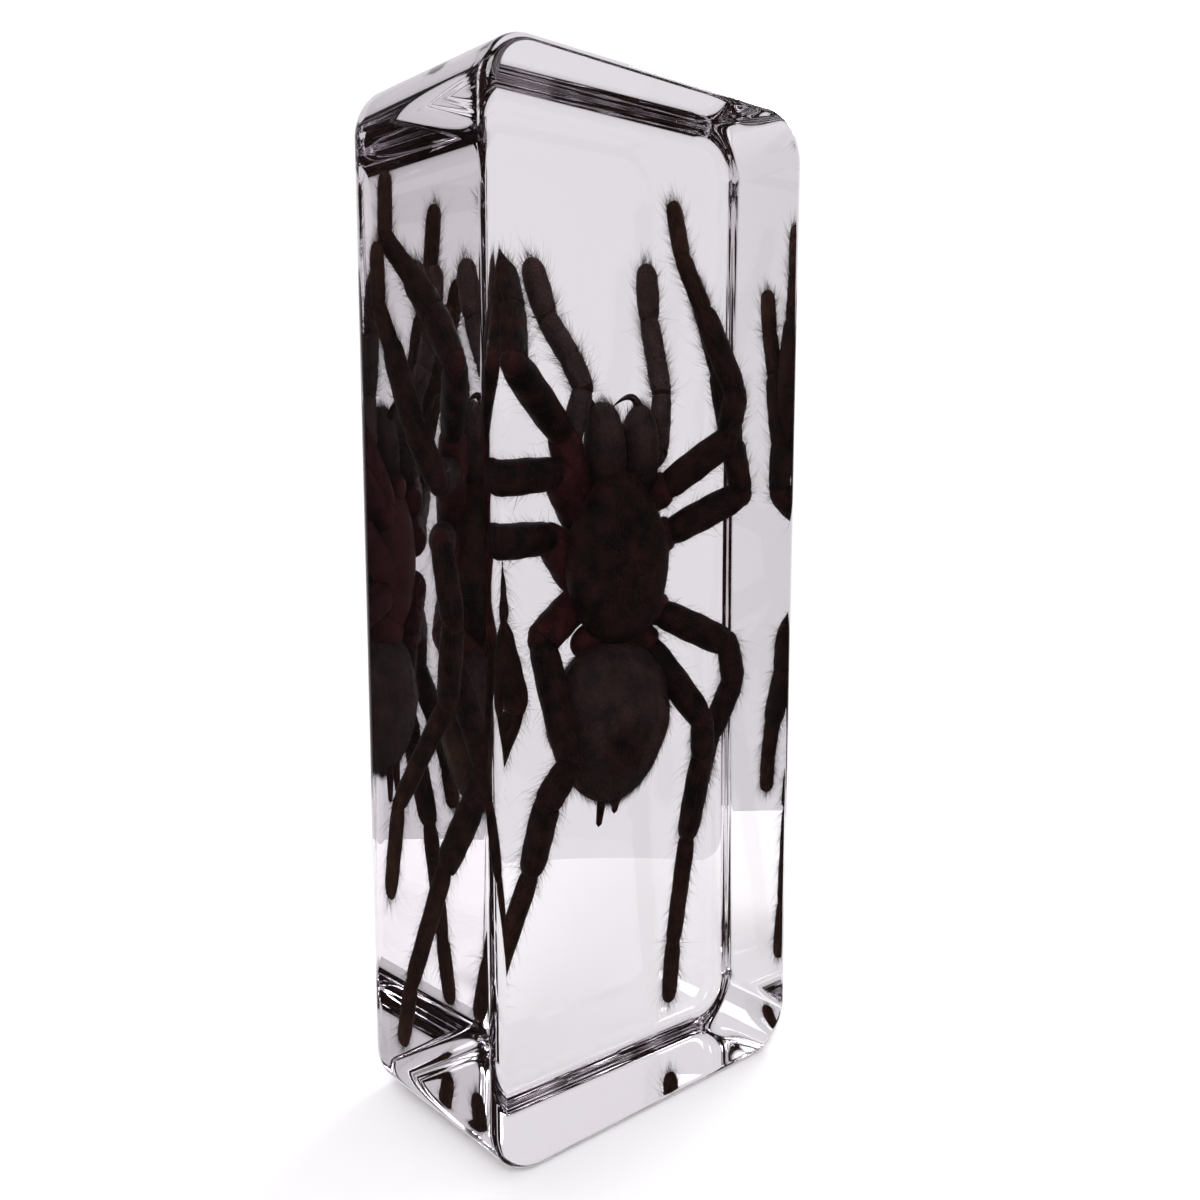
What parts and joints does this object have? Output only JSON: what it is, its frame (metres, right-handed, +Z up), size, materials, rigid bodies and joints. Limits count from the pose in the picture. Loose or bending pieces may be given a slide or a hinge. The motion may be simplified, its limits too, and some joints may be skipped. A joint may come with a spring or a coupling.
{
  "type": "tarantula in resin block",
  "caption": "Upright clear resin block with rounded corners and a dried tarantula sealed inside it, back to the front face and legs stretched up and down.",
  "frame": {"origin": "middle of the block's bottom face", "axes": "+X across the block to the right seen from the front, +Y from the front face to the back face, +Z up the block's length"},
  "size_m": [0.044, 0.025, 0.11],
  "materials": {
    "resin": "clear cast polyester resin, polished",
    "cuticle": "dried dark brown cuticle with fine hair"
  },
  "bodies": {
    "root": {"block_front": "resin", "block_back": "resin", "tarantula": "cuticle"}
  },
  "joints": []
}
